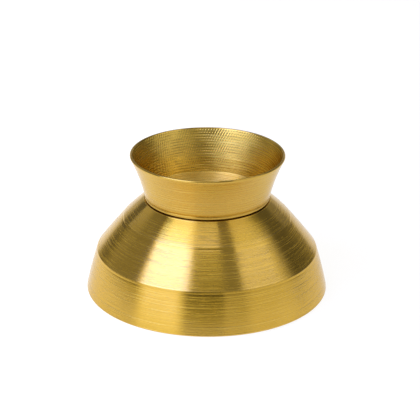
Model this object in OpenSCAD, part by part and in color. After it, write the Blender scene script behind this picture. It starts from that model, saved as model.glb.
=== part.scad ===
// Brass tip cleaner stand.
// A spun brass cup holds a coil of brass wool. It screws down onto a hollow cone base,
// which an iron disc weights. Three screws fix a threaded spigot under the cup's floor,
// and one screw from below clamps the base together.
// Millimetres, +Z up. The origin is the centre of the underside, on the axis of revolution.

/* [Base shell] */
// Outer radius at the foot
foot_r = 42; // [41.5:0.1:43]
// Outer radius at the lower crease
skirt_r = 38.2; // [37.8:0.1:38.8]
// Height of the lower crease
skirt_z = 14.9; // [14.4:0.1:15.6]
// Outer radius at the upper crease
shoulder_r = 28.7; // [28:0.1:29.4]
// Height of the upper crease
shoulder_z = 26.7; // [26:0.1:27.2]
// Outer radius of the flat deck round the neck
deck_r = 21.75; // [21.6:0.05:22.2]
// Height of the deck
deck_z = 33.2; // [32.8:0.1:33.6]
// Wall of the spun shell
base_wall = 1; // [0.8:0.05:1.1]
// Gap between the shell's foot and the surface it stands on
foot_gap = 0.4; // [0.2:0.1:0.8]

/* [Cup] */
// Outer radius where the wall meets the underside
cup_foot_r = 21.4; // [21.2:0.1:21.8]
// Outer radius of the rim
rim_r = 26.55; // [26:0.05:27.2]
// Height from the underside to the rim
cup_h = 15.7; // [14.5:0.1:17]
// Wall of the cup
cup_wall = 0.9; // [0.8:0.05:1]
// Radius of the arc that the wall flares along
flare_r = 59; // [54:1:70]
// Radius of the rounded lower corner
corner_r = 0.5; // [0.4:0.1:1.2]

/* [Neck thread] */
// Radius over the spigot's thread
thread_r = 15; // [14.9:0.1:15.2]
// Radial running clearance in the neck ring
thread_gap = 0.05; // [0.03:0.01:0.08]
// Depth of the neck ring's threaded bore
ring_bore_depth = 8.1; // [7.9:0.1:8.5]
// Outer radius of the neck ring's barrel
barrel_r = 18; // [17.8:0.1:18.4]
// Thickness of the web under the threaded bore
web_t = 5; // [4:0.1:5.5]
// Radius of the spigot's bore
spigot_bore_r = 9; // [8.5:0.1:9.2]
// Thickness of the fibre washer under the cup
seat_t = 0.3; // [0.2:0.05:0.5]

/* [Weight and underside] */
// Thickness of the rubber foot pad
pad_t = 3; // [2.8:0.1:3.4]
// Outer radius of the foot pad
pad_r = 38.6; // [37:0.1:39]
// Thickness of the bottom plate
plate_t = 1; // [0.8:0.1:1.1]
// Height of the bottom plate's upturned edge
plate_edge_h = 5; // [4:0.5:6]
// Inner radius of the well round the screw head
well_r = 10.5; // [10:0.1:11]
// Depth of the well, from the plate's underside
well_h = 5; // [4.9:0.1:5.4]
// Radius of the ballast disc
ballast_r = 36.5; // [34:0.5:36.5]
// Thickness of the ballast disc
ballast_t = 8; // [7:0.5:9]

/* [Fasteners] */
// Thread radius of the centre screw
bolt_r = 3; // [2.5:0.5:3]
// Length of the centre screw under its head
bolt_len = 20; // [18:0.5:20]
// Thread radius of the spigot's screws
screw_r = 1.25; // [1:0.25:1.25]
// Length of the spigot's screws
screw_len = 6; // [5:0.5:6]
// Number of the spigot's screws
screw_count = 3; // [3:1:4]
// Radius of the circle that the spigot's screws stand on
screw_circle_r = 11.5; // [11.4:0.1:11.6]

/* [Hidden] */
$fn = 180;

cut = 0.5;             // how far a cutting solid runs past the face it opens
fastener_gap = 0.05;   // radial clearance of a screw in its thread
slip_gap = 0.1;        // radial clearance of a ring on the round that it slips over
arc_steps = 14;        // straight steps in a drawn arc of the cup

// Neck: a flange sits in a pressed recess of the deck and stands a little proud of it.
recess_depth = 0.7;
flange_proud = 0.1;
recess_z = deck_z - recess_depth;
flange_top_z = deck_z + flange_proud;
recess_r = barrel_r + 2.6;
flange_r = recess_r - 2 * slip_gap;
shell_hole_r = barrel_r + slip_gap;
bore_r = thread_r + thread_gap;
bore_floor_z = flange_top_z - ring_bore_depth;
web_z = bore_floor_z - web_t;
lead_in = 0.4;         // chamfer at the start of each thread

// Cup and spigot: an undercut between the thread and the cup keeps the washer captive.
cup_z = flange_top_z + seat_t;
floor_z = cup_z + cup_wall;
rim_z = cup_z + cup_h;
spigot_z = bore_floor_z + 0.8;
undercut_z = flange_top_z - 0.3;
undercut_r = thread_r - 0.6;
seat_r = thread_r + 4.5;

// Weight and underside
plate_top_z = pad_t + plate_t;
plate_gap = 0.05;
well_ceiling_z = pad_t + well_h;
well_top_z = well_ceiling_z + plate_t;
ballast_top_z = plate_top_z + ballast_t;
pad_bore_r = well_r + 1.5;

// Fasteners
washer_t = 1.6;
washer_r = 2 * bolt_r;
bolt_hole_r = bolt_r + 0.3;
bolt_head_r = 1.75 * bolt_r;
bolt_head_h = 1.1 * bolt_r;
bolt_head_z = well_ceiling_z - washer_t;
spacer_r = bolt_r + 2.2;
hex_r = 0.77 * bolt_r;
hex_depth = 0.6 * bolt_head_h;
screw_head_r = 1.88 * screw_r;
screw_land = 0.2;      // straight edge of the countersunk head
slot_w = 0.6;
slot_depth = 0.7;
first_screw = 30;      // bearing of the first spigot screw, in degrees

function unit(v) = v / norm(v);

// Normal on the inner side of a wall that is listed from its foot up.
function inward(a, b) = let (d = unit(b - a)) [-d.y, d.x];

// Inner corner of a wall of thickness t whose outer corner is b.
function inner_corner(a, b, c, t) =
    let (m = inward(a, b), n = inward(b, c)) b + t * (m + n) / (1 + m * n);

// Radius at height z of the line through p and q.
function radius_at(p, q, z) = p.x + (q.x - p.x) * (z - p.y) / (q.y - p.y);

function polar(c, r, angle) = c + r * [cos(angle), sin(angle)];

function arc(c, r, from, to, steps) =
    [for (i = [0:steps]) polar(c, r, from + (to - from) * i / steps)];

// Corner b between the sides from a and to c, rounded to radius r.
function rounded(a, b, c, r, steps) =
    let (u = unit(a - b), v = unit(c - b),
         half = acos(u * v) / 2,
         centre = b + unit(u + v) * r / sin(half),
         start = b + u * r / tan(half) - centre,
         turn = sign(cross([v.x, v.y, 0], [u.x, u.y, 0]).z) * (180 - 2 * half),
         first = atan2(start.y, start.x))
    arc(centre, r, first, first + turn, steps);

// Outer corners of the base shell, from its foot up.
foot_corner = [foot_r, foot_gap];
skirt_corner = [skirt_r, skirt_z];
shoulder_corner = [shoulder_r, shoulder_z];
deck_corner = [deck_r, deck_z];
skirt_inset = base_wall * inward(foot_corner, skirt_corner);
neck_inset = base_wall * inward(shoulder_corner, deck_corner);

function skirt_inner_r(z) = radius_at(foot_corner + skirt_inset, skirt_corner + skirt_inset, z);

function neck_inner_r(z) = radius_at(shoulder_corner + neck_inset, deck_corner + neck_inset, z);

// Arc of the cup's wall, along the middle of its thickness, from the corner to the lip.
wall_start = [cup_foot_r - cup_wall / 2, cup_z];
wall_end = [rim_r - cup_wall / 2, rim_z - cup_wall / 2];
wall_mid_r = flare_r + cup_wall / 2;
wall_chord = wall_end - wall_start;
wall_centre = (wall_start + wall_end) / 2
    + [wall_chord.y, -wall_chord.x] / norm(wall_chord)
    * sqrt(pow(wall_mid_r, 2) - pow(norm(wall_chord) / 2, 2));
lip_angle = 180 + atan((wall_end.y - wall_centre.y) / (wall_end.x - wall_centre.x));

// Bearing from the arc's centre of the wall at height z, on a radius r about that centre.
function wall_angle(z, r) = 180 - asin((z - wall_centre.y) / r);

module tube(r_out, r_in, z_low, z_high) {
    translate([0, 0, z_low])
        difference() {
            cylinder(r = r_out, h = z_high - z_low);
            translate([0, 0, -cut]) cylinder(r = r_in, h = z_high - z_low + 2 * cut);
        }
}

// Countersunk screw with the top of its head at height 0, grown by gap for its hole.
module countersunk(gap = 0, rise = 0) {
    rotate_extrude()
        polygon([
            [0, rise],
            [screw_head_r + gap, rise],
            [screw_head_r + gap, -screw_land],
            [screw_r + gap, -screw_land - screw_head_r + screw_r],
            [screw_r + gap, -screw_len - gap],
            [0, -screw_len - gap]
        ]);
}

module at_spigot_screws() {
    for (i = [0:screw_count - 1])
        rotate(first_screw + i * 360 / screw_count)
            translate([screw_circle_r, 0, floor_z])
                children();
}

// Spun shell of three cones under a flat deck, open below.
module base_shell() {
    color("goldenrod")
        rotate_extrude()
            polygon([
                foot_corner,
                skirt_corner,
                shoulder_corner,
                deck_corner,
                [recess_r, deck_z],
                [recess_r, recess_z],
                [shell_hole_r, recess_z],
                [shell_hole_r, recess_z - base_wall],
                [neck_inner_r(recess_z - base_wall), recess_z - base_wall],
                inner_corner(skirt_corner, shoulder_corner, deck_corner, base_wall),
                inner_corner(foot_corner, skirt_corner, shoulder_corner, base_wall),
                [skirt_inner_r(foot_gap), foot_gap]
            ]);
}

// Turned ring that the cup's spigot screws into, with a tapped web for the centre screw.
module neck_ring() {
    color("darkgoldenrod")
        rotate_extrude()
            polygon([
                [bolt_r + fastener_gap, web_z],
                [barrel_r, web_z],
                [barrel_r, recess_z],
                [flange_r, recess_z],
                [flange_r, flange_top_z],
                [bore_r + lead_in, flange_top_z],
                [bore_r, flange_top_z - lead_in],
                [bore_r, bore_floor_z],
                [bolt_r + fastener_gap, bore_floor_z]
            ]);
}

module spacer_tube() {
    color("silver") tube(spacer_r, bolt_hole_r, ballast_top_z, web_z);
}

// Iron disc that weights the base, hollowed below to clear the bottom plate's well.
module ballast() {
    color("dimgray")
        difference() {
            tube(ballast_r, bolt_hole_r, plate_top_z, ballast_top_z);
            translate([0, 0, plate_top_z - cut])
                cylinder(r = well_r + plate_t + 2 * slip_gap, h = well_top_z - plate_top_z + cut);
        }
}

// Pressed plate: its edge turns up inside the skirt, and its middle rises as a well.
module bottom_plate() {
    edge_top_z = pad_t + plate_edge_h;
    edge_low_r = skirt_inner_r(pad_t) - plate_gap;
    edge_top_r = skirt_inner_r(edge_top_z) - plate_gap;
    color("lightslategray")
        rotate_extrude()
            polygon([
                [well_r, pad_t],
                [edge_low_r, pad_t],
                [edge_top_r, edge_top_z],
                [edge_top_r - plate_t, edge_top_z],
                [skirt_inner_r(plate_top_z) - plate_gap - plate_t, plate_top_z],
                [well_r + plate_t, plate_top_z],
                [well_r + plate_t, well_top_z],
                [bolt_hole_r, well_top_z],
                [bolt_hole_r, well_ceiling_z],
                [well_r, well_ceiling_z]
            ]);
}

module screw_washer() {
    color("silver") tube(washer_r, bolt_hole_r, bolt_head_z, well_ceiling_z);
}

// Button-head socket screw, head down.
module centre_screw() {
    dome_r = bolt_head_r + 0.9;
    color("gainsboro")
        difference() {
            union() {
                translate([0, 0, bolt_head_z]) cylinder(r = bolt_r, h = bolt_len);
                intersection() {
                    translate([0, 0, bolt_head_z - bolt_head_h])
                        cylinder(r = bolt_head_r, h = bolt_head_h);
                    translate([0, 0, bolt_head_z - bolt_head_h + dome_r]) sphere(r = dome_r);
                }
            }
            translate([0, 0, bolt_head_z - bolt_head_h - cut])
                cylinder(r = hex_r, h = hex_depth + cut, $fn = 6);
        }
}

module foot_pad() {
    color("black") tube(pad_r, pad_bore_r, 0, pad_t);
}

// Fibre washer under the cup, captive in the spigot's undercut.
module seat_washer() {
    color("saddlebrown") tube(seat_r, undercut_r + slip_gap, flange_top_z, cup_z);
}

// Spun cup: a flat floor, a rounded corner, a wall that flares along an arc, a round lip.
module cup() {
    inner_r = wall_mid_r + cup_wall / 2;
    underside = polar(wall_centre, flare_r, wall_angle(cup_z, flare_r));
    floor_edge = polar(wall_centre, inner_r, wall_angle(floor_z, inner_r));
    outer_arc = arc(wall_centre, flare_r,
                    wall_angle(cup_z + 2 * corner_r, flare_r), lip_angle, arc_steps);
    inner_arc = arc(wall_centre, inner_r,
                    lip_angle, wall_angle(floor_z + corner_r, inner_r), arc_steps);
    color("gold")
        difference() {
            rotate_extrude()
                polygon(concat(
                    [[0, cup_z]],
                    rounded([0, cup_z], underside, outer_arc[0], corner_r, arc_steps / 2),
                    outer_arc,
                    arc(wall_end, cup_wall / 2, lip_angle - 180, lip_angle, arc_steps / 2),
                    inner_arc,
                    rounded(inner_arc[arc_steps], floor_edge, [0, floor_z],
                            corner_r / 2, arc_steps / 2),
                    [[0, floor_z]]
                ));
            at_spigot_screws() countersunk(fastener_gap, cut);
        }
}

// Threaded ring under the cup's floor.
module spigot() {
    color("darkkhaki")
        difference() {
            rotate_extrude()
                polygon([
                    [spigot_bore_r, spigot_z],
                    [thread_r - lead_in, spigot_z],
                    [thread_r, spigot_z + lead_in],
                    [thread_r, undercut_z],
                    [undercut_r, undercut_z],
                    [undercut_r, cup_z],
                    [spigot_bore_r, cup_z]
                ]);
            at_spigot_screws() countersunk(fastener_gap, cut);
        }
}

module spigot_screws() {
    color("khaki")
        at_spigot_screws()
            difference() {
                countersunk();
                translate([-screw_head_r - cut, -slot_w / 2, -slot_depth])
                    cube([2 * (screw_head_r + cut), slot_w, slot_depth + cut]);
            }
}

base_shell();
neck_ring();
spacer_tube();
ballast();
bottom_plate();
screw_washer();
centre_screw();
foot_pad();
seat_washer();
cup();
spigot();
spigot_screws();
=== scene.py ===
import math

import bmesh
import bpy
from mathutils import Matrix, Vector


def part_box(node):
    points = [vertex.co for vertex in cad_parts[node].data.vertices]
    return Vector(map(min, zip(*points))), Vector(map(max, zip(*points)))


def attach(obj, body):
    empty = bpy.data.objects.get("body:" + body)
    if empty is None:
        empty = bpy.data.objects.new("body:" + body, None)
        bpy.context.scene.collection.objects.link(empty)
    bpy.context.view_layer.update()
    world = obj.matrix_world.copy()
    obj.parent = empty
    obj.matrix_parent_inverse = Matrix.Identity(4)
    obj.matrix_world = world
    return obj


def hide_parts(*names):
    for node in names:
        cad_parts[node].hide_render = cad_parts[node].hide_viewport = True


# Brass tip cleaner stand: a spun cup that screws down onto a weighted base of three cones.
# Most pieces are an outline of (radius, height) points swept round the Z axis. Sizes are in metres.
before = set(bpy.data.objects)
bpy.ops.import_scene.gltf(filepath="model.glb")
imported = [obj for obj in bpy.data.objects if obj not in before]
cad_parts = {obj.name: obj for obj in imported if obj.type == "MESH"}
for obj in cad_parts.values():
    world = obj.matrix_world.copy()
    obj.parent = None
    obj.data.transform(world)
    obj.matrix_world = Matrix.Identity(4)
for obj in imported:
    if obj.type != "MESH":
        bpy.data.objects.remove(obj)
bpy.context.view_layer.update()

MM = 0.001

# ---------------------------------------------------------------- sizes, from the frame
SHELL_LOW, SHELL_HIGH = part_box("base_shell")
RING_LOW, RING_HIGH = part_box("neck_ring")
CUP_LOW, CUP_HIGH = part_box("cup")
SPIGOT_LOW, SPIGOT_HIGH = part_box("spigot")
SEAT_LOW, SEAT_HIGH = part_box("seat_washer")
SPACER_LOW, SPACER_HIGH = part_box("spacer_tube")
BALLAST_LOW, BALLAST_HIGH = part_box("ballast")
PLATE_LOW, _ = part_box("bottom_plate")
WASHER_LOW, WASHER_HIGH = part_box("screw_washer")
BOLT_LOW, BOLT_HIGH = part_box("centre_screw")
PAD_LOW, PAD_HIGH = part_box("foot_pad")
SCREWS_LOW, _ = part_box("spigot_screws")

# ---------------------------------------------------------------- sizes inside the boxes
FIT_GAP = 0.05 * MM  # a screw in its hole, or the plate in the shell
SLIP_GAP = 0.1 * MM  # a ring on the round that it slips over
OVERCUT = 0.5 * MM   # how far a cutting solid runs past the face it opens

SKIRT_CREASE = (38.2 * MM, 14.9 * MM)
SHOULDER_CREASE = (28.7 * MM, 26.7 * MM)
DECK_R = 21.75 * MM
SHELL_WALL = 1.0 * MM
RECESS_R = 20.6 * MM
RECESS_DEPTH = 0.7 * MM
CREASE_ROUND = 0.16 * MM
SKIRT_BULGE = 0.18 * MM
CONE_BULGE = 0.1 * MM
SKIRT_MARK = 0.03 * MM
CONE_MARK = 0.04 * MM

BARREL_R = 18.0 * MM
SHELL_HOLE_R = BARREL_R + SLIP_GAP
BORE_DEPTH = 8.1 * MM
BORE_FLOOR_Z = RING_HIGH.z - BORE_DEPTH
SPIGOT_BORE_R = 9.0 * MM
UNDERCUT_R = SPIGOT_HIGH.x - 0.6 * MM
UNDERCUT_Z = RING_HIGH.z - 0.3 * MM
THREAD_PITCH = 2.0 * MM
THREAD_DEPTH = 1.0 * MM
THREAD_CLEARANCE = 0.16 * MM
THREAD_STEEPNESS = 2.0

CUP_WALL = 0.9 * MM
CUP_FOOT_R = 21.4 * MM
CUP_CORNER_R = 0.5 * MM
CUP_FLOOR_RINGS = [r * MM for r in (4, 8, 15, 19)]
FLARE_R = 59.0 * MM
BEAD_H = 0.95 * MM
BEAD_PROUD = 0.22 * MM
BEAD_FILLET = 0.3 * MM
FLOOR_Z = CUP_LOW.z + CUP_WALL

BOLT_R = 3.0 * MM
BOLT_HOLE_R = 3.3 * MM
BOLT_PITCH = 1.0 * MM
BOLT_THREAD_DEPTH = 0.55 * MM
BOLT_HEAD_TOP = WASHER_LOW.z
HEX_R = 2.31 * MM
HEX_DEPTH = 2.0 * MM
WELL_R = 10.5 * MM
WELL_CEILING_Z = WASHER_HIGH.z
PLATE_T = 1.0 * MM
PLATE_EDGE_H = 5.0 * MM
HOLLOW_GAP = 0.2 * MM
PAD_SETBACK = 1.5 * MM

SCREW_R = 1.25 * MM
SCREW_HEAD_R = 2.35 * MM
SCREW_LAND = 0.2 * MM
SCREW_CONE_Z = FLOOR_Z - (SCREW_LAND + SCREW_HEAD_R - SCREW_R)
SCREW_CIRCLE_R = 11.5 * MM
SCREW_BEARINGS = [math.radians(a) for a in (30, 150, 270)]
SLOT_W = 0.6 * MM
SLOT_DEPTH = 0.7 * MM
SLOT_TURN = math.radians(35)

SEGMENTS = 192        # round the large pieces
SMALL_SEGMENTS = 96   # round the spacer, and the centre screw and its washer
SCREW_SEGMENTS = 48   # round the cup's screws
HEX_SEGMENTS = 6
THREAD_ROWS = 20      # rings in one turn of the neck thread
BOLT_ROWS = 10        # rings in one turn of the centre screw's thread
HEAD_STEPS = 8        # rings over the centre screw's round head
WALL_STEPS = 22       # rings up each side of the cup's wall
LIP_STEPS = 10        # rings over its lip


# ---------------------------------------------------------------- outlines, as (radius, height) points
def unit(v):
    return v / v.length


def round_corner(before, corner, after, radius, steps=5):
    """Points of the arc that rounds one corner of an outline."""
    u = unit(before - corner)
    v = unit(after - corner)
    half = math.acos(max(-1.0, min(1.0, u.dot(v)))) / 2
    centre = corner + unit(u + v) * radius / math.sin(half)
    start = corner + u * radius / math.tan(half) - centre
    end = corner + v * radius / math.tan(half) - centre
    first = math.atan2(start.y, start.x)
    turn = math.atan2(start.cross(end), start.dot(end))
    return [centre + Vector((math.cos(a), math.sin(a))) * radius
            for a in (first + turn * i / steps for i in range(steps + 1))]


def outline(corners, closed=True):
    """Outline through corners of (radius, height) or (radius, height, rounding)."""
    points = [Vector(c[:2]) for c in corners]
    made = []
    count = len(corners)
    for i, corner in enumerate(corners):
        rounding = corner[2] if len(corner) > 2 else 0.0
        inner = closed or 0 < i < count - 1
        if rounding and inner:
            made += round_corner(points[i - 1], points[i], points[(i + 1) % count], rounding)
        else:
            made.append(points[i])
    return made


# The tool's groove below a crease: distance from the crease, and share of the groove's depth.
TOOL_MARK = [(0.45 * MM, 0.0), (0.6 * MM, 0.5), (0.75 * MM, 1.0), (0.95 * MM, 0.6), (1.15 * MM, 0.0)]
SIDE_STEP = 0.5 * MM


def spun_side(a, b, bulge, mark=0.0):
    """Points between a and b, where a is the upper end: a shallow outward arc, with a groove that
    the tool has left just below a."""
    a = Vector(a)
    b = Vector(b)
    along = unit(b - a)
    outward = Vector((-along.y, along.x))
    length = (b - a).length

    def at(distance, depth=0.0):
        share = distance / length
        return a + along * distance + outward * (bulge * 4 * share * (1 - share) - depth)

    made = [at(distance, mark * share) for distance, share in TOOL_MARK] if mark else []
    start = TOOL_MARK[-1][0] if mark else 0.0
    steps = round((length - start) / SIDE_STEP)
    made += [at(start + (length - start) * i / steps) for i in range(1, steps)]
    return [(p.x, p.y) for p in made]


def with_supports(points, closed=True, near=0.12 * MM, longest=1.6 * MM):
    """The outline with rings added close to each end of its long sides, and along them."""
    made = []
    last = len(points) if closed else len(points) - 1
    for i in range(last):
        a = points[i]
        b = points[(i + 1) % len(points)]
        made.append(a)
        length = (b - a).length
        if length < 4 * near:
            continue
        steps = max(1, round(length / longest))
        stops = [near / length] + [k / steps for k in range(1, steps)] + [1 - near / length]
        made += [a.lerp(b, t) for t in stops]
    if not closed:
        made.append(points[-1])
    return made


# ---------------------------------------------------------------- meshes
SHARP_ANGLE = math.radians(32)
ON_AXIS = 1e-7


def smooth_shade(bm):
    """Smooth faces, with edges left sharp where the surface turns a corner."""
    for face in bm.faces:
        face.smooth = True
    for edge in bm.edges:
        edge.smooth = len(edge.link_faces) == 2 and edge.calc_face_angle() < SHARP_ANGLE


def finish_piece(name, bm, materials):
    """Turns a bmesh into an object with these materials."""
    bmesh.ops.recalc_face_normals(bm, faces=bm.faces)
    smooth_shade(bm)
    mesh = bpy.data.meshes.new(name)
    bm.to_mesh(mesh)
    bm.free()
    piece = bpy.data.objects.new(name, mesh)
    bpy.context.scene.collection.objects.link(piece)
    for material in materials:
        mesh.materials.append(material)
    return piece


def plain_ring(bm, radius, height, segments, centre=(0.0, 0.0)):
    """Points round the axis, or one point on it."""
    if radius < ON_AXIS:
        return [bm.verts.new((*centre, height))]
    return [bm.verts.new((centre[0] + radius * math.cos(a), centre[1] + radius * math.sin(a), height))
            for a in (2 * math.pi * k / segments for k in range(segments))]


def join_rings(bm, rings, closed=True):
    """Quads between neighbouring rings, and a fan to a ring of one point."""
    pairs = zip(rings, rings[1:] + rings[:1]) if closed else zip(rings, rings[1:])
    made = []
    for low, high in pairs:
        for k in range(max(len(low), len(high))):
            corners = (low[k % len(low)], low[(k + 1) % len(low)],
                       high[(k + 1) % len(high)], high[k % len(high)])
            made.append(bm.faces.new(list(dict.fromkeys(corners))))
    return made


def add_revolve(bm, points, closed=True, segments=SEGMENTS, centre=(0.0, 0.0), paint=None):
    """Adds the surface that an outline sweeps round the axis through centre.
    paint(place) gives a face's material index."""
    rings = [plain_ring(bm, p.x, p.y, segments, centre) for p in points]
    for face in join_rings(bm, rings, closed):
        if paint:
            face.material_index = paint(face.calc_center_median())


def revolve(name, corners, materials, closed=True, segments=SEGMENTS, paint=None):
    bm = bmesh.new()
    add_revolve(bm, with_supports(outline(corners, closed), closed), closed, segments, paint=paint)
    return finish_piece(name, bm, materials)


def cut_away(piece, cutters):
    """Cuts closed solids out of a piece, and removes them."""
    for cutter in cutters:
        modifier = piece.modifiers.new("cut", "BOOLEAN")
        modifier.operation = "DIFFERENCE"
        modifier.solver = "EXACT"
        modifier.object = cutter
    graph = bpy.context.evaluated_depsgraph_get()
    cut = bpy.data.meshes.new_from_object(piece.evaluated_get(graph))
    piece.modifiers.clear()
    bm = bmesh.new()
    bm.from_mesh(cut)
    smooth_shade(bm)
    bm.to_mesh(piece.data)
    bm.free()
    bpy.data.meshes.remove(cut)
    for cutter in cutters:
        bpy.data.objects.remove(cutter)
    return piece


# ---------------------------------------------------------------- materials
class Graph:
    """Adds shader nodes to one material, and returns their output sockets."""

    def __init__(self, name):
        self.material = bpy.data.materials.new(name)
        self.material.use_nodes = True
        self.tree = self.material.node_tree
        self.shader = self.tree.nodes["Principled BSDF"]

    def add(self, kind, inputs=None, **settings):
        made = self.tree.nodes.new(kind)
        for key, value in settings.items():
            setattr(made, key, value)
        for key, value in (inputs or {}).items():
            self.put(made, key, value)
        return made

    def put(self, node, key, value):
        """Links a socket to the node's input, or sets the input to a value."""
        if isinstance(value, bpy.types.NodeSocket):
            self.tree.links.new(value, node.inputs[key])
        else:
            node.inputs[key].default_value = value

    def math(self, operation, a, b=0.0):
        return self.add("ShaderNodeMath", {0: a, 1: b}, operation=operation).outputs[0]

    def scaled(self, value, low, high, to_low, to_high):
        """value moved from the range low..high to to_low..to_high, and kept inside it."""
        return self.add("ShaderNodeMapRange", {"Value": value, "From Min": low, "From Max": high,
                                               "To Min": to_low, "To Max": to_high}).outputs[0]

    def middle(self, noise):
        """The middle of a noise's range, stretched to run from 0 to 1."""
        return self.scaled(noise, 0.35, 0.65, 0.0, 1.0)

    def grained(self, noise, low, high):
        """From low to high over the range that a noise mostly covers."""
        return self.scaled(noise, 0.3, 0.7, low, high)

    def band(self, value, centre, half_width):
        """1 at centre, falling smoothly to 0 at half_width from it."""
        gap = self.math("ABSOLUTE", self.math("SUBTRACT", value, centre))
        return self.add("ShaderNodeMapRange", {"Value": gap, "From Min": 0.0, "From Max": half_width,
                                               "To Min": 1.0, "To Max": 0.0},
                        interpolation_type="SMOOTHSTEP").outputs[0]

    def position(self):
        """Place on the object, in metres, which stays with it when it moves."""
        return self.add("ShaderNodeTexCoord").outputs["Object"]

    def noise(self, vector, scale, detail=3.0, roughness=0.5):
        return self.add("ShaderNodeTexNoise", {"Vector": vector, "Scale": scale, "Detail": detail,
                                               "Roughness": roughness}).outputs["Fac"]

    def lines(self, across, spacing, seed):
        """Straight lines that cross the value, about spacing apart."""
        place = self.math("ADD", self.math("DIVIDE", across, spacing), seed)
        return self.add("ShaderNodeTexNoise", {"W": place, "Scale": 1.0, "Detail": 1.0, "Roughness": 0.5},
                        noise_dimensions="1D").outputs["Fac"]

    def mix_values(self, factor, a, b):
        """a where factor is 0, and b where it is 1."""
        made = self.add("ShaderNodeMix", data_type="FLOAT")
        self.put(made, "Factor", factor)
        self.put(made, 2, a)
        self.put(made, 3, b)
        return made.outputs[0]

    def mix(self, factor, a, b):
        """Colour a where factor is 0, and colour b where it is 1."""
        made = self.add("ShaderNodeMix", data_type="RGBA")
        self.put(made, "Factor", factor)
        self.put(made, 6, a)
        self.put(made, 7, b)
        return made.outputs[2]

    def bump(self, height, distance, normal=None):
        made = self.add("ShaderNodeBump", {"Height": height, "Distance": distance, "Strength": 1.0})
        if normal:
            self.put(made, "Normal", normal)
        return made.outputs["Normal"]

    def set(self, **values):
        """Sets or links the shader's own sockets: an underscore stands for a space in a name."""
        for key, value in values.items():
            self.put(self.shader, key.replace("_", " "), value)
        return self.material


class Around:
    """Where a point lies round the Z axis: its height, its bearing, and its place across the brush
    lines. lean adds radius to height, so that the lines keep their spacing on flat faces."""

    def __init__(self, graph, lean):
        self.graph = graph
        x, y, self.z = graph.add("ShaderNodeSeparateXYZ", {"Vector": graph.position()}).outputs
        radius = graph.math("SQRT", graph.math("ADD", graph.math("MULTIPLY", x, x),
                                               graph.math("MULTIPLY", y, y)))
        # Not zero on the axis, because places are divided by it.
        radius = graph.math("MAXIMUM", radius, 0.1 * MM)
        self.across = graph.math("ADD", self.z, graph.math("MULTIPLY", radius, lean))
        self.bearing = graph.math("ARCTAN2", y, x)
        self.circle = [graph.math("DIVIDE", value, radius) for value in (x, y)]

    def patches(self, arc, spacing):
        """Soft patches, arc (in radians) long and spacing high."""
        g = self.graph
        x, y = [g.math("DIVIDE", value, arc) for value in self.circle]
        place = g.add("ShaderNodeCombineXYZ", {0: x, 1: y, 2: g.math("DIVIDE", self.across, spacing)})
        return g.noise(place.outputs[0], 1.0, 2.0, 0.5)

    def streaks(self, spacing, arc, seed):
        """Brush lines about spacing apart that come and go along arc, as a height round 0.5."""
        g = self.graph
        line = g.math("SUBTRACT", g.lines(self.across, spacing, seed), 0.5)
        fade = g.scaled(self.patches(arc, spacing * 1.5), 0.4, 0.62, 0.15, 1.0)
        return g.math("ADD", g.math("MULTIPLY", line, fade), 0.5)


# Brushed brass. Each set of brush lines has a spacing, a length against the material's arc, and a seed.
BRASS_TONE = (0.66, 0.405, 0.036)
BROAD_LINES = (0.8 * MM, 1.4, 3.7)
MIDDLE_LINES = (0.42 * MM, 1.0, 11.3)
HAIR_LINES = (0.2 * MM, 1.8, 23.1)
BROAD_SHARE = 0.35
STREAK_DEPTH = 0.075 * MM
HAIR_DEPTH = 0.02 * MM
POLISHED_W = 0.8 * MM    # height of the smooth band below a crease
POLISHED_LEVEL = 0.44    # the streaks' height in it, a little below the middle, which also paints the band a little darker as shade under the crease
CREASE_HIGHLIGHT_W = 0.25 * MM       # half-height of the painted highlight along a crease
# Painted shade: the near-black colour, and the height it fades in over, that darken the screws below the
# cup's floor, in their holes.
HOLE_SHADE_PAINT = (0.05, 0.035, 0.015, 1.0)
HOLE_SHADE_FADE = 0.3 * MM
EDGE_TINT = (0.86, 0.75, 0.5, 1.0)
LACQUER_ROUGH = 0.16
LACQUER_IOR = 1.56

# The tool's ripples inside the cup, in radians for each radian round it or metre across it.
RIPPLE_ROUND = 165.0
RIPPLE_LEAN = 2600.0
RIPPLE_ROWS = 5600.0
RIPPLE_PATCH = (0.3, 6.0 * MM)


def tinted(tone, red, green, blue, pale=0.0):
    """The tone with its colours scaled, and blue added to make it paler."""
    return (tone[0] * red, tone[1] * green, tone[2] * blue + pale, 1.0)


def brush_lines(g, place, arc, creases):
    """Heights of the wide brush lines, which are smooth below each crease, and of the fine ones."""
    broad, middle, hairs = [place.streaks(spacing, arc * length, seed)
                            for spacing, length, seed in (BROAD_LINES, MIDDLE_LINES, HAIR_LINES)]
    streaks = g.math("ADD", g.math("MULTIPLY", broad, BROAD_SHARE),
                     g.math("MULTIPLY", middle, 1 - BROAD_SHARE))
    polished = 0.0
    for height in creases:
        polished = g.math("MAXIMUM", polished, g.band(place.z, height - POLISHED_W, POLISHED_W))
    # The band is smooth, and is also painted a little darker there, as shade under the crease.
    if creases:
        streaks = g.mix_values(polished, streaks, POLISHED_LEVEL)
    return streaks, hairs


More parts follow.
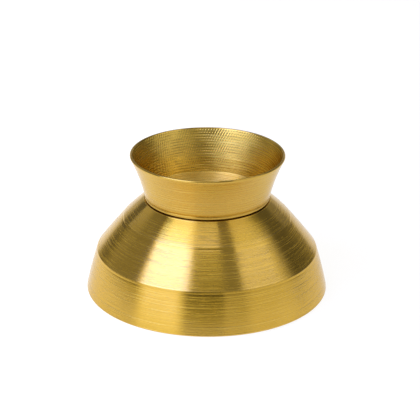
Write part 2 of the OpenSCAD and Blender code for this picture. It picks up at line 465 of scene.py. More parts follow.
def brass_colour(g, place, tone, streaks, hairs, creases):
    """Patchy tone with dark brush lines of grain, pale brush lines painted as a sheen, and a painted
    highlight along each crease.
    """
    colour = g.mix(g.middle(g.noise(g.position(), 60.0, 3.0, 0.55)), (*tone, 1.0),
                   tinted(tone, 0.95, 0.93, 0.8))
    colour = g.mix(g.scaled(streaks, 0.5, 0.38, 0.0, 0.15), colour, tinted(tone, 0.6, 0.57, 0.5))
    # Painted sheen: pale, bluish lines where the brush grooves would catch light. The dark lines are the
    # metal's own grain.
    colour = g.mix(g.scaled(streaks, 0.5, 0.62, 0.0, 0.6), colour, tinted(tone, 1.3, 1.38, 1.0, 0.06))
    colour = g.mix(g.scaled(hairs, 0.48, 0.36, 0.0, 0.25), colour, tinted(tone, 0.75, 0.72, 0.6))
    # Painted highlight: a pale line along each crease, standing in for the light its rounded edge catches.
    for height in creases:
        crease_highlight = g.math("MULTIPLY", g.band(place.z, height + CREASE_HIGHLIGHT_W, CREASE_HIGHLIGHT_W), 0.5)
        colour = g.mix(crease_highlight, colour, tinted(tone, 1.2, 1.25, 1.0, 0.06))
    return colour


def tool_ripples(g, place):
    """Slanted ripples from -1 to 1, cut into dimples by level rows, and fainter in patches."""
    slanted = g.math("SINE", g.math("ADD", g.math("MULTIPLY", place.bearing, RIPPLE_ROUND),
                                    g.math("MULTIPLY", place.across, RIPPLE_LEAN)))
    level = g.math("SINE", g.math("MULTIPLY", place.across, RIPPLE_ROWS))
    rows = g.scaled(level, -1.0, 1.0, 0.3, 1.0)
    worked = g.scaled(place.patches(*RIPPLE_PATCH), 0.35, 0.6, 0.3, 1.0)
    return g.math("MULTIPLY", slanted, g.math("MULTIPLY", rows, worked))


def brass(name, lean, tone=BRASS_TONE, rough=0.2, creases=(), marks=1.0, arc=0.18, ripple_depth=0.0,
          coat=0.6, hole_shade_top=None):
    """Lacquered brass, brushed round the Z axis. marks scales the depth of the brush lines, and arc is
    their length in radians. creases are the heights of the creases, each with a painted highlight
    along it. Below the height given in the last argument, the metal is painted dark, as shade in a hole."""
    g = Graph(name)
    place = Around(g, lean)
    streaks, hairs = brush_lines(g, place, arc, creases)
    colour = brass_colour(g, place, tone, streaks, hairs, creases)
    normal = g.bump(streaks, STREAK_DEPTH * marks)
    normal = g.bump(hairs, HAIR_DEPTH * marks, normal)
    # Painted shade: below this height the metal is painted near-black, as the shade in the hole it sits in.
    if hole_shade_top is not None:
        colour = g.mix(g.scaled(place.z, hole_shade_top, hole_shade_top - HOLE_SHADE_FADE, 0.0, 0.85), colour, HOLE_SHADE_PAINT)
    if ripple_depth:
        ripples = tool_ripples(g, place)
        # Painted shade: the ripples' troughs are painted darker, standing in for the light the dimples don't
        # catch.
        colour = g.mix(g.scaled(ripples, 0.0, -1.0, 0.0, 0.25), colour, tinted(tone, 0.55, 0.5, 0.4))
        normal = g.bump(ripples, ripple_depth, normal)
    tangent = g.add("ShaderNodeTangent", direction_type="RADIAL", axis="Z").outputs[0]
    return g.set(Base_Color=colour, Metallic=1.0, Normal=normal,
                 Roughness=g.scaled(streaks, 0.48, 0.64, rough - 0.03, rough + 0.18),
                 Anisotropic=1.0, Anisotropic_Rotation=0.25, Tangent=tangent, Specular_Tint=EDGE_TINT,
                 Coat_Weight=coat, Coat_Roughness=LACQUER_ROUGH, Coat_IOR=LACQUER_IOR)


def steel(name, tone, rough):
    """Bare or plated steel with fine grain and faint stains."""
    g = Graph(name)
    grain = g.noise(g.position(), 700.0, 4.0, 0.6)
    stains = g.middle(g.noise(g.position(), 90.0, 3.0, 0.5))
    return g.set(Base_Color=g.mix(stains, (*tone, 1.0), tinted(tone, 0.8, 0.81, 0.83)), Metallic=1.0,
                 Roughness=g.grained(grain, rough - 0.06, rough + 0.1), Normal=g.bump(grain, 0.01 * MM))


def iron(name):
    """Cast iron with a sandy skin and dark blotches."""
    g = Graph(name)
    sand = g.noise(g.position(), 900.0, 5.0, 0.65)
    blotches = g.middle(g.noise(g.position(), 120.0, 3.0, 0.5))
    return g.set(Base_Color=g.mix(blotches, (0.055, 0.055, 0.06, 1.0), (0.11, 0.1, 0.095, 1.0)),
                 Metallic=0.85, Roughness=g.grained(sand, 0.5, 0.75), Normal=g.bump(sand, 0.09 * MM))


def rubber(name):
    """Black rubber with a fine grain and some dust."""
    g = Graph(name)
    grain = g.noise(g.position(), 1400.0, 3.0, 0.6)
    dust = g.scaled(g.noise(g.position(), 110.0, 4.0, 0.6), 0.4, 0.7, 0.0, 1.0)
    return g.set(Base_Color=g.mix(dust, (0.014, 0.014, 0.015, 1.0), (0.035, 0.034, 0.033, 1.0)),
                 Roughness=g.grained(grain, 0.6, 0.85), Normal=g.bump(grain, 0.03 * MM))


def fibre(name):
    """Red-brown vulcanised fibre, flecked with its fibres."""
    g = Graph(name)
    fibres = g.noise(g.position(), 1100.0, 4.0, 0.7)
    return g.set(Base_Color=g.mix(g.middle(fibres), (0.3, 0.12, 0.05, 1.0), (0.42, 0.19, 0.09, 1.0)),
                 Roughness=g.grained(fibres, 0.55, 0.75), Normal=g.bump(fibres, 0.02 * MM))


BASE_BRASS = brass("spun_brass_base", lean=-0.7,
                   creases=(SKIRT_CREASE[1], SHOULDER_CREASE[1], SHELL_HIGH.z))
CUP_BRASS = brass("spun_brass_cup", lean=0.7, tone=(0.62, 0.39, 0.047), creases=(CUP_HIGH.z,), marks=0.4,
                  arc=0.7)
# Painted light: the inside and the floor are the same sheet as the cup's outside, given paler, brighter
# tones that stand in for the light they gather.
CUP_INSIDE_PAINTED_LIGHT = brass("spun_brass_inside_painted_light", lean=0.7, tone=(0.75, 0.52, 0.1), rough=0.25, marks=0.2,
                         arc=0.8, ripple_depth=0.045 * MM, coat=0.15)
CUP_FLOOR_PAINTED_LIGHT = brass("spun_brass_floor_painted_light", lean=0.7, tone=(0.86, 0.65, 0.24), rough=0.28, marks=0.25,
                        arc=0.6)
TURNED_BRASS = brass("turned_brass", lean=0.7, rough=0.22)
# The screws are painted dark below the cup's floor, as shade in their countersunk holes.
SCREW_BRASS = brass("screw_brass", lean=0.7, rough=0.3, coat=0.2, hole_shade_top=FLOOR_Z - 0.05 * MM)
ZINC = steel("zinc_steel", (0.55, 0.55, 0.53), 0.32)
PRESSED = steel("pressed_steel", (0.42, 0.43, 0.45), 0.4)
IRON = iron("cast_iron")
RUBBER = rubber("moulded_rubber")
FIBRE = fibre("vulcanised_fibre")


# ---------------------------------------------------------------- base
def offset_side(a, b, distance):
    """The side from a to b, moved to its left by distance."""
    d = unit(b - a)
    left = Vector((-d.y, d.x)) * distance
    return a + left, b + left


def radius_at(side, height):
    p, q = side
    return p.x + (q.x - p.x) * (height - p.y) / (q.y - p.y)


def crossing(side, other):
    """Where two sides, drawn out as lines, cross."""
    d = side[1] - side[0]
    e = other[1] - other[0]
    t = (other[0] - side[0]).cross(e) / d.cross(e)
    return side[0] + d * t


FOOT = Vector((SHELL_HIGH.x, SHELL_LOW.z))
SKIRT_TOP = Vector(SKIRT_CREASE)
SHOULDER = Vector(SHOULDER_CREASE)
DECK = Vector((DECK_R, SHELL_HIGH.z))
INNER_SKIRT = offset_side(FOOT, SKIRT_TOP, SHELL_WALL)
INNER_CONE = offset_side(SKIRT_TOP, SHOULDER, SHELL_WALL)
INNER_NECK = offset_side(SHOULDER, DECK, SHELL_WALL)


def make_base_shell():
    """Three cones and a flat deck, with a recess for the neck ring's flange."""
    recess_z = DECK.y - RECESS_DEPTH
    under_z = recess_z - SHELL_WALL
    skirt_in = crossing(INNER_SKIRT, INNER_CONE)
    shoulder_in = crossing(INNER_CONE, INNER_NECK)
    skirt = spun_side(SKIRT_TOP, FOOT, SKIRT_BULGE, SKIRT_MARK)
    cone = spun_side(SHOULDER, SKIRT_TOP, CONE_BULGE, CONE_MARK)
    neck = spun_side(DECK, SHOULDER, CONE_BULGE)
    corners = [
        (FOOT.x, FOOT.y, 0.4 * MM),
        *reversed(skirt),
        (SKIRT_TOP.x, SKIRT_TOP.y, CREASE_ROUND),
        *reversed(cone),
        (SHOULDER.x, SHOULDER.y, CREASE_ROUND),
        *reversed(neck),
        (DECK.x, DECK.y, CREASE_ROUND),
        (RECESS_R, DECK.y, 0.15 * MM),
        (RECESS_R, recess_z, 0.1 * MM),
        (SHELL_HOLE_R, recess_z, 0.1 * MM),
        (SHELL_HOLE_R, under_z, 0.2 * MM),
        (radius_at(INNER_NECK, under_z), under_z, 0.5 * MM),
        (shoulder_in.x, shoulder_in.y, 1.0 * MM),
        (skirt_in.x, skirt_in.y, 1.0 * MM),
        (radius_at(INNER_SKIRT, FOOT.y), FOOT.y, 0.35 * MM),
    ]
    return revolve("base_shell_spun", corners, [BASE_BRASS])


def make_spacer_tube():
    edge = 0.3 * MM
    corners = [
        (BOLT_HOLE_R, SPACER_LOW.z, edge),
        (SPACER_HIGH.x, SPACER_LOW.z, edge),
        (SPACER_HIGH.x, SPACER_HIGH.z, edge),
        (BOLT_HOLE_R, SPACER_HIGH.z, edge),
    ]
    return revolve("spacer_tube_turned", corners, [ZINC], segments=SMALL_SEGMENTS)


def make_ballast():
    """Cast disc, hollowed below to clear the plate's well."""
    edge = 0.8 * MM
    hollow_r = WELL_R + PLATE_T + HOLLOW_GAP
    hollow_z = WELL_CEILING_Z + PLATE_T
    corners = [
        (BOLT_HOLE_R, hollow_z, 0.2 * MM),
        (hollow_r, hollow_z, 0.4 * MM),
        (hollow_r, BALLAST_LOW.z, 0.4 * MM),
        (BALLAST_HIGH.x, BALLAST_LOW.z, edge),
        (BALLAST_HIGH.x, BALLAST_HIGH.z, edge),
        (BOLT_HOLE_R, BALLAST_HIGH.z, 0.3 * MM),
    ]
    return revolve("ballast_cast", corners, [IRON])


def make_bottom_plate():
    """Plate with its edge turned up inside the skirt, and a well for the screw's head."""
    outer = offset_side(FOOT, SKIRT_TOP, SHELL_WALL + FIT_GAP)
    inner = offset_side(FOOT, SKIRT_TOP, SHELL_WALL + FIT_GAP + PLATE_T)
    edge_z = PLATE_LOW.z + PLATE_EDGE_H
    top_z = PLATE_LOW.z + PLATE_T
    well_top_z = WELL_CEILING_Z + PLATE_T
    corners = [
        (WELL_R, PLATE_LOW.z, 0.4 * MM),
        (radius_at(outer, PLATE_LOW.z), PLATE_LOW.z, 0.8 * MM),
        (radius_at(outer, edge_z), edge_z, 0.2 * MM),
        (radius_at(inner, edge_z), edge_z, 0.2 * MM),
        (radius_at(inner, top_z), top_z, 0.3 * MM),
        (WELL_R + PLATE_T, top_z, 0.15 * MM),
        (WELL_R + PLATE_T, well_top_z, 0.6 * MM),
        (BOLT_HOLE_R, well_top_z, 0.1 * MM),
        (BOLT_HOLE_R, WELL_CEILING_Z, 0.1 * MM),
        (WELL_R, WELL_CEILING_Z, 0.4 * MM),
    ]
    return revolve("bottom_plate_pressed", corners, [PRESSED])


def make_screw_washer():
    edge = 0.25 * MM
    corners = [
        (BOLT_HOLE_R, WASHER_LOW.z, 0.1 * MM),
        (WASHER_HIGH.x, WASHER_LOW.z, edge),
        (WASHER_HIGH.x, WASHER_HIGH.z, edge),
        (BOLT_HOLE_R, WASHER_HIGH.z, 0.1 * MM),
    ]
    return revolve("screw_washer_stamped", corners, [ZINC], segments=SMALL_SEGMENTS)


def make_foot_pad():
    """Moulded ring with two grooves in its underside."""
    bore_r = WELL_R + PAD_SETBACK
    groove_depth = 0.8 * MM
    groove_half = 1.0 * MM
    soft = 0.25 * MM
    span = PAD_HIGH.x - bore_r
    corners = [(bore_r, PAD_LOW.z, soft)]
    for share in (1 / 3, 2 / 3):
        middle = bore_r + span * share
        corners += [
            (middle - groove_half, PAD_LOW.z, soft),
            (middle - groove_half, PAD_LOW.z + groove_depth, soft),
            (middle + groove_half, PAD_LOW.z + groove_depth, soft),
            (middle + groove_half, PAD_LOW.z, soft),
        ]
    corners += [
        (PAD_HIGH.x, PAD_LOW.z, 0.6 * MM),
        (PAD_HIGH.x, PAD_HIGH.z, soft),
        (bore_r, PAD_HIGH.z, soft),
    ]
    return revolve("foot_pad_moulded", corners, [RUBBER])


# ---------------------------------------------------------------- threads
def thread_wave(angle, height, pitch):
    """-1 at the root and 1 at the crest of a right-hand thread, flattened at both."""
    phase = 2 * math.pi * height / pitch - angle
    return math.tanh(THREAD_STEEPNESS * math.sin(phase)) / math.tanh(THREAD_STEEPNESS)


def thread_rings(bm, rows, pitch, floor_r, rise, way, envelope, segments=SEGMENTS):
    """Rings of a right-hand thread that stands rise from floor_r: outward where way is 1, and inward
    where way is -1. envelope(height) is 1 at full depth and 0 where the thread has run out."""
    rings = []
    for height in rows:
        ring = []
        for k in range(segments):
            angle = 2 * math.pi * k / segments
            share = (1 + way * thread_wave(angle, height, pitch)) / 2
            radius = floor_r + way * rise * share * envelope(height)
            ring.append(bm.verts.new((radius * math.cos(angle), radius * math.sin(angle), height)))
        rings.append(ring)
    return rings


def spread(low, high, step):
    """Heights from low to high, about step apart."""
    count = max(2, round((high - low) / step))
    return [low + (high - low) * i / count for i in range(count + 1)]


def ramp(value, start, length):
    """0 up to start, and rising to 1 over length."""
    return max(0.0, min(1.0, (value - start) / length))


def plain_rings(bm, corners, segments):
    """Rings of the unthreaded part of an outline, open at both ends."""
    points = with_supports(outline(corners, closed=False), closed=False)
    return [plain_ring(bm, p.x, p.y, segments) for p in points]


def make_spigot():
    """Ring with a male thread between its lead-in and the undercut under the cup."""
    bm = bmesh.new()
    root_r = SPIGOT_HIGH.x - THREAD_DEPTH
    end_edge = 0.1 * MM
    chamfer = 0.15 * MM
    lead_in = 0.8 * MM
    low = SPIGOT_LOW.z + end_edge
    rows = spread(low, UNDERCUT_Z, THREAD_PITCH / THREAD_ROWS)
    thread = thread_rings(bm, rows, THREAD_PITCH, root_r, THREAD_DEPTH, 1, lambda z: ramp(z, low, lead_in))
    body = plain_rings(bm, [
        (UNDERCUT_R, UNDERCUT_Z),
        (UNDERCUT_R, CUP_LOW.z),
        (SPIGOT_BORE_R, CUP_LOW.z, 0.2 * MM),
        (SPIGOT_BORE_R, SPIGOT_LOW.z, 0.3 * MM),
        (root_r - chamfer, SPIGOT_LOW.z),
    ], SEGMENTS)
    join_rings(bm, thread + body)
    spigot = finish_piece("spigot_threaded", bm, [TURNED_BRASS])
    return cut_away(spigot, [screw_cutter(b) for b in SCREW_BEARINGS])


def make_neck_ring():
    """Ring with the matching female thread, a flange, and a tapped hole in its web."""
    bm = bmesh.new()
    root_r = SPIGOT_HIGH.x + THREAD_CLEARANCE
    relief_h = 0.9 * MM
    top_edge = 0.05 * MM
    run_out = 0.5 * MM
    lead_in = 0.7 * MM
    low = BORE_FLOOR_Z + relief_h
    high = RING_HIGH.z - top_edge
    rows = spread(low, high, THREAD_PITCH / THREAD_ROWS)
    thread = thread_rings(bm, rows, THREAD_PITCH, root_r, THREAD_DEPTH, -1,
                          lambda z: min(ramp(z, low, run_out), ramp(-z, -high, lead_in)))
    hole_r = BOLT_R + FIT_GAP
    flange_z = SHELL_HIGH.z - RECESS_DEPTH
    body = plain_rings(bm, [
        (root_r, RING_HIGH.z),
        (RING_HIGH.x, RING_HIGH.z, 0.2 * MM),
        (RING_HIGH.x, flange_z, 0.1 * MM),
        (BARREL_R, flange_z, 0.05 * MM),
        (BARREL_R, RING_LOW.z, 0.5 * MM),
        (hole_r, RING_LOW.z, 0.4 * MM),
        (hole_r, BORE_FLOOR_Z, 0.4 * MM),
        (root_r, BORE_FLOOR_Z, 0.3 * MM),
        (root_r, low - 0.1 * MM),
    ], SEGMENTS)
    join_rings(bm, thread + body)
    return finish_piece("neck_ring_threaded", bm, [TURNED_BRASS])


def make_centre_screw():
    """Button-head socket screw, head down, with a rolled thread."""
    core_r = BOLT_R - BOLT_THREAD_DEPTH
    head_r = BOLT_HIGH.x
    rim_h = 0.5 * MM
    land = 0.5 * MM
    shank_h = 1.2 * MM
    tip_h = 0.5 * MM
    run_out = 0.5 * MM
    lead_in = 0.8 * MM
    rim_z = BOLT_HEAD_TOP - rim_h
    dome_h = rim_z - BOLT_LOW.z
    crown_r = HEX_R + land
    low = BOLT_HEAD_TOP + shank_h
    high = BOLT_HIGH.z - tip_h
    rows = spread(low, high, BOLT_PITCH / BOLT_ROWS)
    bm = bmesh.new()
    dome = [(crown_r + (head_r - crown_r) * math.sin(t), rim_z - dome_h * math.cos(t))
            for t in (math.pi / 2 * i / HEAD_STEPS for i in range(HEAD_STEPS + 1))]
    head = plain_rings(bm, [
        (crown_r / 2, BOLT_LOW.z),
        *dome,
        (head_r, BOLT_HEAD_TOP, 0.15 * MM),
        (BOLT_R, BOLT_HEAD_TOP, 0.15 * MM),
        (BOLT_R, low - 0.4 * MM, 0.1 * MM),
        (core_r, low - 0.1 * MM),
    ], SMALL_SEGMENTS)
    thread = thread_rings(bm, rows, BOLT_PITCH, core_r, BOLT_THREAD_DEPTH, 1,
                          lambda z: min(ramp(z, low, run_out), ramp(-z, -high, lead_in)), SMALL_SEGMENTS)
    tip = plain_rings(bm, [
        (core_r, high + 0.05 * MM),
        (core_r - 0.4 * MM, BOLT_HIGH.z),
        (core_r / 2, BOLT_HIGH.z),
    ], SMALL_SEGMENTS)
    ends = [[bm.verts.new((0, 0, BOLT_LOW.z))], [bm.verts.new((0, 0, BOLT_HIGH.z))]]
    join_rings(bm, [ends[0]] + head + thread + tip + [ends[1]], closed=False)
    screw = finish_piece("centre_screw_button_head", bm, [ZINC])
    return cut_away(screw, [hex_cutter()])


def hex_cutter():
    """Six-sided solid that clears the screw's socket, with a coned end."""
    bm = bmesh.new()
    start = BOLT_LOW.z - OVERCUT
    top = BOLT_LOW.z + HEX_DEPTH
    cone_h = 0.6 * MM
    points = [Vector(p) for p in ((0, start), (HEX_R, start), (HEX_R, top), (0, top + cone_h))]
    add_revolve(bm, points, closed=False, segments=HEX_SEGMENTS)
    return finish_piece("cutter", bm, [])


# ---------------------------------------------------------------- cup
def arc_points(centre, radius, start, end, steps):
    """Points of the arc from the bearing start to the bearing end."""
    return [centre + Vector((math.cos(a), math.sin(a))) * radius
            for a in (start + (end - start) * i / steps for i in range(steps + 1))]


def cup_wall_arc():
    """Centre and middle radius of the arc that the wall flares along, and the lip's bearing on it
    and centre."""
    start = Vector((CUP_FOOT_R - CUP_WALL / 2, CUP_LOW.z))
    end = Vector((CUP_HIGH.x - CUP_WALL / 2, CUP_HIGH.z - CUP_WALL / 2))
    middle_r = FLARE_R + CUP_WALL / 2
    chord = end - start
    right = Vector((chord.y, -chord.x)) / chord.length
    centre = (start + end) / 2 + right * math.sqrt(middle_r ** 2 - (chord.length / 2) ** 2)
    lip = math.atan2(end.y - centre.y, end.x - centre.x)
    return centre, middle_r, lip, end


def cup_outline():
    """Outline of the cup from the axis under the floor, out, up, over the lip and back."""
    centre, middle_r, lip, lip_centre = cup_wall_arc()
    outer_r = middle_r - CUP_WALL / 2
    inner_r = middle_r + CUP_WALL / 2
    over_bead_z = CUP_LOW.z + BEAD_H + BEAD_FILLET

    def bearing(height, radius):
        return math.pi - math.asin((height - centre.y) / radius)

    def on_arc(height, radius):
        a = bearing(height, radius)
        return centre + Vector((math.cos(a), math.sin(a))) * radius

    outer = arc_points(centre, outer_r, bearing(over_bead_z, outer_r), lip, WALL_STEPS)
    inner = arc_points(centre, inner_r, lip, bearing(FLOOR_Z + CUP_CORNER_R, inner_r), WALL_STEPS)
    top = arc_points(lip_centre, CUP_WALL / 2, lip - math.pi, lip, LIP_STEPS)
    bead = outline([
        (0, CUP_LOW.z),
        (CUP_FOOT_R + 0.1 * MM, CUP_LOW.z, 0.3 * MM),
        (CUP_FOOT_R + BEAD_PROUD, CUP_LOW.z + BEAD_H * 0.75, 0.25 * MM),
        (on_arc(CUP_LOW.z + BEAD_H, outer_r).x - 0.12 * MM, CUP_LOW.z + BEAD_H, 0.1 * MM),
        outer[0],
    ], closed=False)
    heel = round_corner(inner[-1], on_arc(FLOOR_Z, inner_r), Vector((0, FLOOR_Z)), CUP_CORNER_R / 2, steps=6)
    under = [Vector((r, CUP_LOW.z)) for r in [0.0] + CUP_FLOOR_RINGS]
    floor = [Vector((r, FLOOR_Z)) for r in CUP_FLOOR_RINGS[::-1] + [0.0]]
    return under + bead[1:-1] + outer + top[1:-1] + inner + heel + floor


def screw_place(bearing):
    """Where the axis of one of the cup's screws is, from above."""
    return SCREW_CIRCLE_R * math.cos(bearing), SCREW_CIRCLE_R * math.sin(bearing)


def screw_cutter(bearing):
    """Solid that clears one countersunk screw."""
    top = FLOOR_Z + OVERCUT
    head = SCREW_HEAD_R + FIT_GAP
    shank = SCREW_R + FIT_GAP
    end = SCREWS_LOW.z - FIT_GAP
    points = [Vector(p) for p in (
        (0, top), (head, top), (head, FLOOR_Z - SCREW_LAND), (shank, SCREW_CONE_Z), (shank, end), (0, end))]
    bm = bmesh.new()
    add_revolve(bm, points, closed=False, segments=SCREW_SEGMENTS, centre=screw_place(bearing))
    return finish_piece("cutter", bm, [])


def make_cup():
    """Spun cup, with one look outside and on the lip, and paler tones of the same brass inside and on its
    floor, as painted light.
    """
    centre, middle_r, _, lip_centre = cup_wall_arc()
    above_floor_z = FLOOR_Z + 0.05 * MM

    def side(p):
        radius = math.hypot(p.x, p.y)
        if p.z > lip_centre.y or p.z < CUP_LOW.z + CUP_WALL / 2:
            return 0
        if p.z < above_floor_z and radius < CUP_FOOT_R - CUP_WALL:
            return 2
        return 1 if (Vector((radius, p.z)) - centre).length > middle_r else 0

    bm = bmesh.new()
    add_revolve(bm, cup_outline(), closed=False, paint=side)
    cup = finish_piece("cup_spun", bm, [CUP_BRASS, CUP_INSIDE_PAINTED_LIGHT, CUP_FLOOR_PAINTED_LIGHT])
    return cut_away(cup, [screw_cutter(b) for b in SCREW_BEARINGS])


def make_seat_washer():
    edge = 0.1 * MM
    inner_r = UNDERCUT_R + SLIP_GAP
    corners = [
        (inner_r, SEAT_LOW.z, edge),
        (SEAT_HIGH.x, SEAT_LOW.z, edge),
        (SEAT_HIGH.x, SEAT_HIGH.z, edge),
        (inner_r, SEAT_HIGH.z, edge),
    ]
    return revolve("seat_washer_cut", corners, [FIBRE])


def make_spigot_screws():
    """Three slotted countersunk screws, as one piece of three separate solids."""
    bm = bmesh.new()
    edge = 0.08 * MM
    corners = [
        (0, FLOOR_Z),
        (SCREW_HEAD_R, FLOOR_Z, edge),
        (SCREW_HEAD_R, FLOOR_Z - SCREW_LAND, edge),
        (SCREW_R, SCREW_CONE_Z, 0.2 * MM),
        (SCREW_R, SCREWS_LOW.z, 0.3 * MM),
        (0, SCREWS_LOW.z),
    ]
    points = outline(corners, closed=False)
    for bearing in SCREW_BEARINGS:
        add_revolve(bm, points, closed=False, segments=SCREW_SEGMENTS, centre=screw_place(bearing))
    screws = finish_piece("spigot_screws_slotted", bm, [SCREW_BRASS])
    return cut_away(screws, [slot_cutter(b) for b in SCREW_BEARINGS])


def slot_cutter(bearing):
    """Block that clears the driver slot of one screw, turned by its bearing."""
    bm = bmesh.new()
    half_length = SCREW_HEAD_R + OVERCUT
    turn = Matrix.Rotation(bearing + SLOT_TURN, 2)
    corners = [(-half_length, -SLOT_W / 2), (half_length, -SLOT_W / 2),
               (half_length, SLOT_W / 2), (-half_length, SLOT_W / 2)]
    places = [Vector(screw_place(bearing)) + turn @ Vector(c) for c in corners]
    low, high = [[bm.verts.new((p.x, p.y, z)) for p in places]
                 for z in (FLOOR_Z - SLOT_DEPTH, FLOOR_Z + OVERCUT)]
    bm.faces.new(low[::-1])
    bm.faces.new(high)
    join_rings(bm, [low, high], closed=False)
    return finish_piece("cutter", bm, [])


# ---------------------------------------------------------------- the pieces on their bodies
PIECES = [
    (make_base_shell, "base", "spun_brass", "base_shell"),
    (make_neck_ring, "base", "turned_brass", "neck_ring"),
    (make_spacer_tube, "base", "plated_steel", "spacer_tube"),
    (make_ballast, "base", "iron", "ballast"),
    (make_bottom_plate, "base", "pressed_steel", "bottom_plate"),
    (make_screw_washer, "base", "plated_steel", "screw_washer"),
    (make_centre_screw, "base", "plated_steel", "centre_screw"),
    (make_foot_pad, "base", "rubber", "foot_pad"),
    (make_seat_washer, "seat", "fibre", "seat_washer"),
    (make_cup, "cup", "spun_brass", "cup"),
    (make_spigot, "cup", "turned_brass", "spigot"),
    (make_spigot_screws, "cup", "turned_brass", "spigot_screws"),
]
for make, body, slot, node in PIECES:
    piece = make()
    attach(piece, body)
    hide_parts(node)


# ---------------------------------------------------------------- stage
DOME_R = 3.0
DOME_SEGMENTS = 96
DOME_ROWS = 32
FLOOR_R = DOME_R * 0.99
FLOOR_SEGMENTS = 64
FRONT_ELEVATION = math.radians(22.6)


def make_floor():
    """White light table, a little brighter on its left side and dimmer far out to each side."""
    bm = bmesh.new()
    add_revolve(bm, [Vector((0, 0)), Vector((FLOOR_R, 0))], closed=False, segments=FLOOR_SEGMENTS)
    g = Graph("floor_white")
    x = g.add("ShaderNodeSeparateXYZ", {"Vector": g.position()}).outputs[0]
    far = g.scaled(g.math("ABSOLUTE", x), 80 * MM, 420 * MM, 0.0, 1.0)
    near_light = g.scaled(x, 20 * MM, -80 * MM, 0.9, 1.15)
    far_light = 0.78
    tint = g.noise(g.position(), 2.0)
    g.set(Base_Color=g.mix(tint, (0.16, 0.15, 0.12, 1.0), (0.18, 0.165, 0.135, 1.0)), Roughness=1.0,
          Specular_IOR_Level=0.0, Emission_Color=(1.0, 1.0, 1.0, 1.0),
          Emission_Strength=g.mix_values(far, near_light, far_light))
    finish_piece("floor", bm, [g.material])


def window(graph, value, low, high, soft_low, soft_high):
    """1 between low and high, and falling smoothly to 0 over the soft width outside each end."""
    rise = graph.add("ShaderNodeMapRange", {"Value": value, "From Min": low - soft_low, "From Max": low},
                     interpolation_type="SMOOTHSTEP").outputs[0]
    fall = graph.add("ShaderNodeMapRange", {"Value": value, "From Min": high, "From Max": high + soft_high,
                                            "To Min": 1.0, "To Max": 0.0},
                     interpolation_type="SMOOTHSTEP").outputs[0]
    return graph.math("MULTIPLY", rise, fall)


# Panels of the studio dome: bearing from and to, softness of each side, height from and to,
# softness, and brightness. Degrees, as the direction half-way between the panel and the
# front, so that a panel mirrors as a band between two bearings on every cone of the base.
# The skirt mirrors the heights below 27, the middle cone those from 27 to 43, and the shoulder
# those from 43 to 60. Bearings below 0 are on the left. A later panel covers the ones before it.
ROOM_LIGHT = 0.5
PANELS = [
    (-180, 180, 1, 1, 60, 74, 6, 0.8),
    (-180, 180, 1, 1, 74, 95, 6, 0.25),
    (-78, 78, 6, 6, -10, 60, 10, 0.16),
    (48, 70, 8, 6, 27, 43, 4, 0.12),
    (48, 62, 8, 6, 43, 60, 4, 0.13),
    (70, 78, 6, 6, 43, 60, 4, 0.3),
    (-78, -36, 3, 3, -10, 27, 5, 0.2),
    (-69, -62, 1, 16, 43, 60, 3, 0.6),
    (-31, -16, 8, 7, -10, 27, 4, 1.6),
    (-9, 9, 2, 0.6, -10, 27, 4, 0.08),
    (-11, 9, 3, 0.6, 27, 37, 3, 0.17),
    (-35, -12, 8, 5, 27, 43, 4, 0.9),
    (-27, -10, 8, 6, 44, 60, 3, 1.45),
    (-33, -12, 6, 5, 35, 43, 2, 3.4),
    (-11, 9, 4, 0.6, 41, 47, 2, 1.5),
    (-11, 9, 4, 0.6, 47, 60, 3, 1.2),
    (9, 46, 0.6, 8, -10, 27, 4, 0.42),
    (24, 42, 6, 10, -10, 27, 4, 0.72),
    (9, 18, 0.6, 2, 27, 60, 4, 0.3),
    (20, 38, 2, 16, 35, 43, 3, 1.5),
    (-62, -41, 6, 4, 27, 42, 4, 0.32),
    (-50, -44, 4, 5, 43, 60, 4, 0.28),
    (20, 31, 2, 14, 43, 60, 3, 0.82),
]


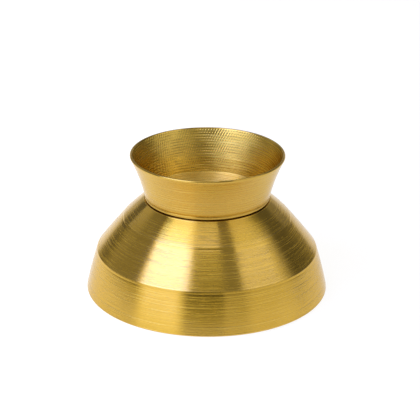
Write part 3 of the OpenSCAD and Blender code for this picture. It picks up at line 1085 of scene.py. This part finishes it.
def make_dome():
    """Studio round the stand, lit by PANELS and hidden from the camera itself."""
    bm = bmesh.new()
    points = [Vector((DOME_R * math.cos(a), DOME_R * math.sin(a)))
              for a in (math.pi / 2 * i / DOME_ROWS for i in range(DOME_ROWS))]
    add_revolve(bm, points + [Vector((0, DOME_R))], closed=False, segments=DOME_SEGMENTS)
    g = Graph("studio_light")
    out = g.add("ShaderNodeVectorMath", {0: g.position()}, operation="NORMALIZE").outputs[0]
    front = (0.0, -math.cos(FRONT_ELEVATION), math.sin(FRONT_ELEVATION))
    half = g.add("ShaderNodeVectorMath", {0: out, 1: front}, operation="ADD").outputs[0]
    half = g.add("ShaderNodeVectorMath", {0: half}, operation="NORMALIZE").outputs[0]
    x, y, z = g.add("ShaderNodeSeparateXYZ", {"Vector": half}).outputs
    to_degrees = math.degrees(1)
    bearing = g.math("MULTIPLY", g.math("ARCTAN2", x, g.math("MULTIPLY", y, -1.0)), to_degrees)
    height = g.math("MULTIPLY", g.math("ARCSINE", z), to_degrees)
    light = ROOM_LIGHT
    for left, right, left_soft, right_soft, bottom, top, soft, bright in PANELS:
        mask = g.math("MULTIPLY", window(g, bearing, left, right, left_soft, right_soft),
                      window(g, height, bottom, top, soft, soft))
        light = g.mix_values(mask, light, bright)
    tint = g.mix(g.scaled(light, 1.2, 3.0, 0.0, 1.0), (1.0, 1.0, 1.0, 1.0), (0.88, 1.1, 3.1, 1.0))
    emission = g.add("ShaderNodeEmission", {"Color": tint, "Strength": light})
    output = g.tree.nodes["Material Output"]
    g.tree.nodes.remove(g.shader)
    g.tree.links.new(emission.outputs[0], output.inputs["Surface"])
    dome = finish_piece("studio_dome", bm, [g.material])
    dome.visible_camera = False


def make_world():
    """Plain white, for low views that see past the floor's edge."""
    world = bpy.data.worlds.new("studio")
    bpy.context.scene.world = world
    world.use_nodes = True
    background = world.node_tree.nodes["Background"]
    background.inputs["Color"].default_value = (1.0, 1.0, 1.0, 1.0)
    background.inputs["Strength"].default_value = 1.0


# The photo's camera, as fitted to the stand's outline.
CAMERA_LENS = 143.3
CAMERA_PLACE = (0.0, -533.7 * MM, 250.7 * MM)
CAMERA_PITCH = math.radians(90 - 22.62)
CAMERA_YAW = math.radians(-0.105)
CAMERA_ROLL = math.radians(0.451)


def make_camera():
    data = bpy.data.cameras.new("camera")
    data.lens = CAMERA_LENS
    camera = bpy.data.objects.new("camera", data)
    turn = (Matrix.Rotation(CAMERA_YAW, 3, "Z") @ Matrix.Rotation(CAMERA_PITCH, 3, "X")
            @ Matrix.Rotation(CAMERA_ROLL, 3, "Z"))
    camera.rotation_euler = turn.to_euler()
    camera.location = CAMERA_PLACE
    bpy.context.scene.collection.objects.link(camera)
    bpy.context.scene.camera = camera


make_floor()
make_dome()
make_world()
make_camera()
bpy.context.scene.view_settings.view_transform = "Standard"
